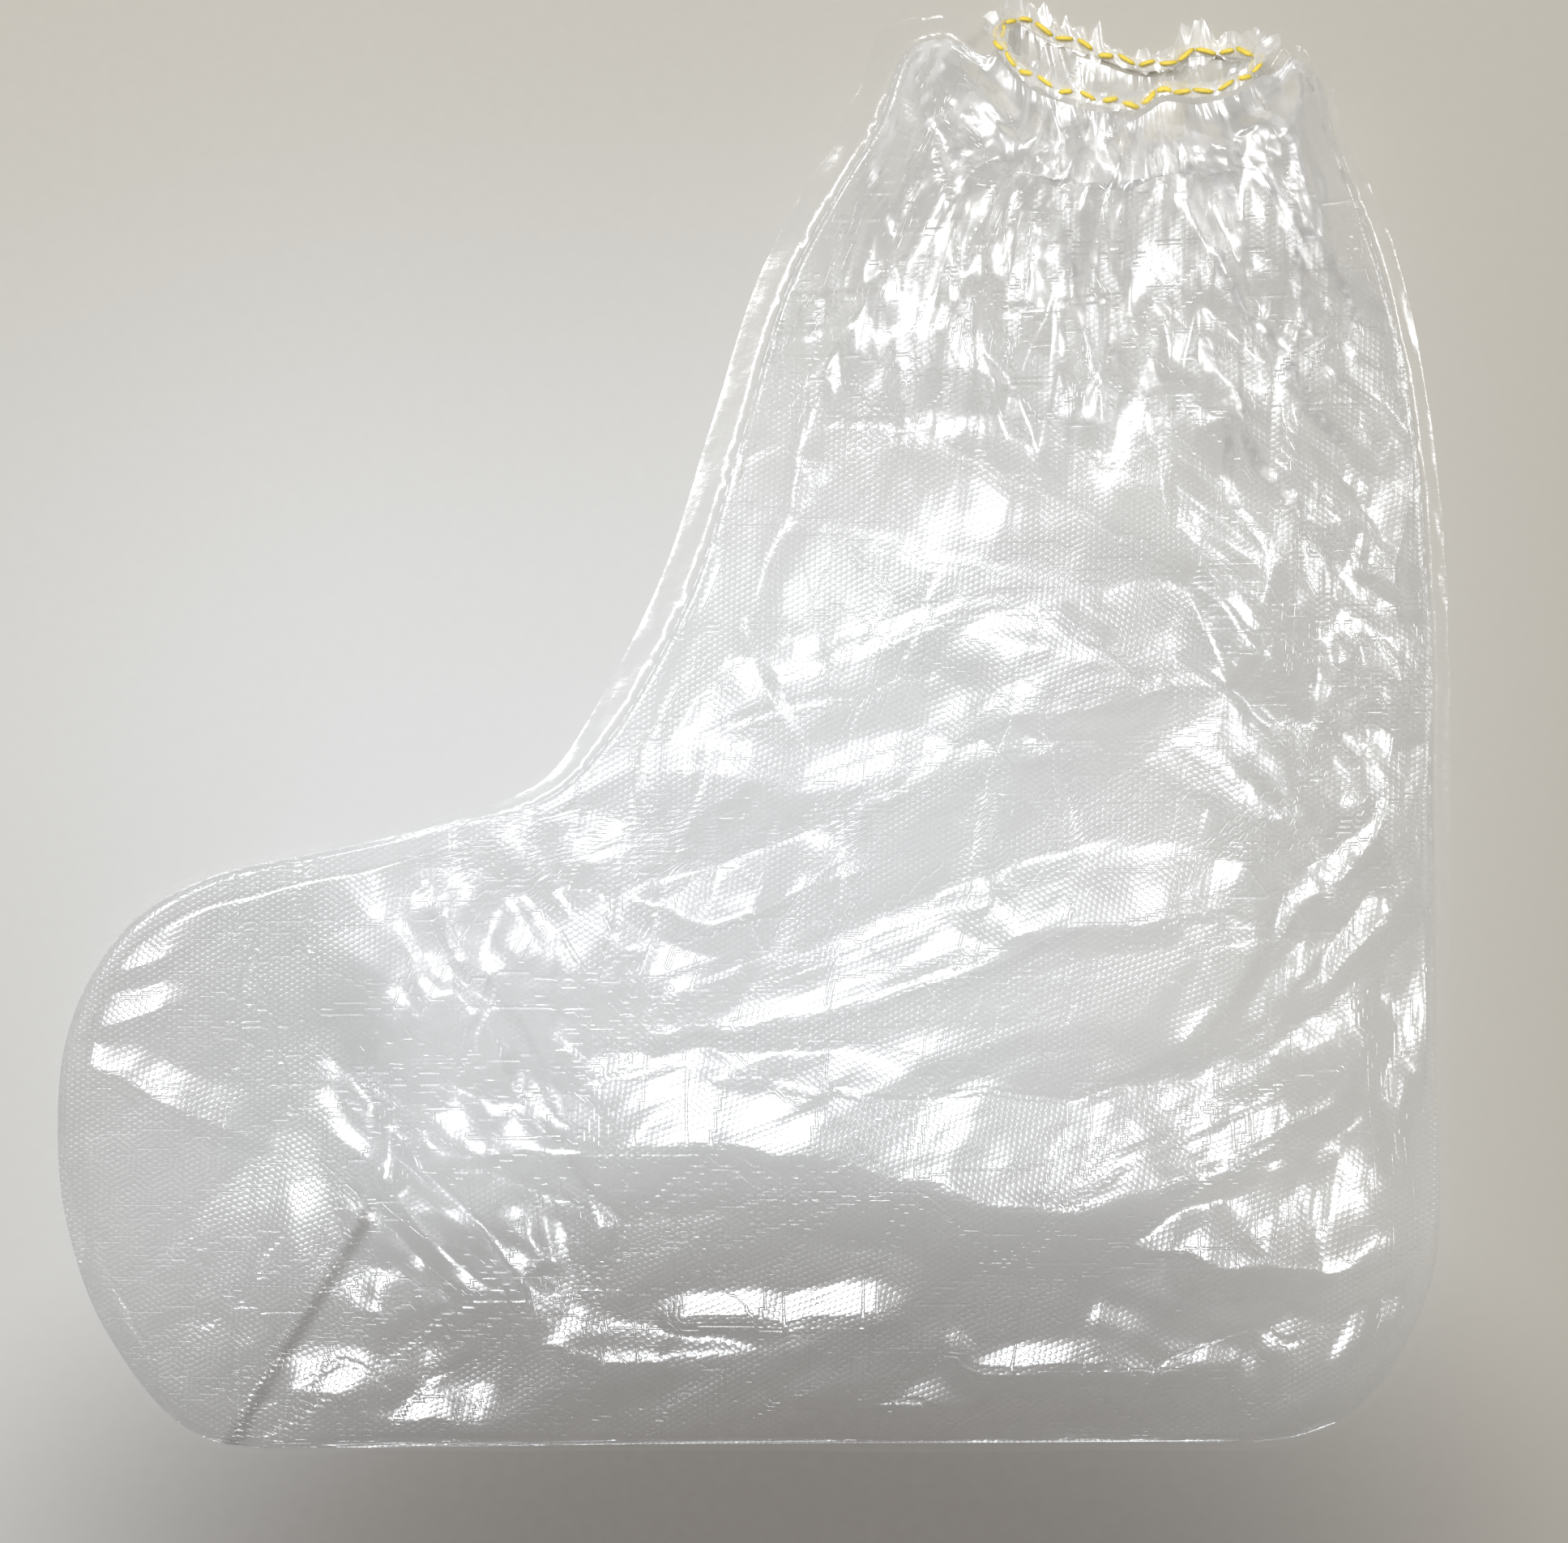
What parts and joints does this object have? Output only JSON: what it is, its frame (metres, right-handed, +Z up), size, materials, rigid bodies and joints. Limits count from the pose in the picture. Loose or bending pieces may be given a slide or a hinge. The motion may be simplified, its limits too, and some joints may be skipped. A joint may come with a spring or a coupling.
{
  "type": "plastic boot cover",
  "caption": "Clear plastic film boot cover with a welded edge, an open leg and a gathered elastic cuff, lying flat on its side.",
  "frame": {"origin": "centre of the part's box in X and Y, at the surface that the cover lies on", "axes": "+X from the toe towards the heel and back of the leg, +Y up the leg towards the cuff, +Z up from the surface that the cover lies on"},
  "size_m": [0.4, 0.4174, 0.0374],
  "materials": {
    "film": "clear embossed film, slightly milky",
    "weld": "clear fused film",
    "frill": "milky ruffled film",
    "elastic": "matt, with yellow thread",
    "thread": "yellow sewing thread"
  },
  "bodies": {
    "root": {"upper_film_panel": "film", "lower_film_panel": "film", "welded_edge": "weld", "elastic_ring": "elastic", "cuff_frill": "frill"}
  },
  "joints": []
}
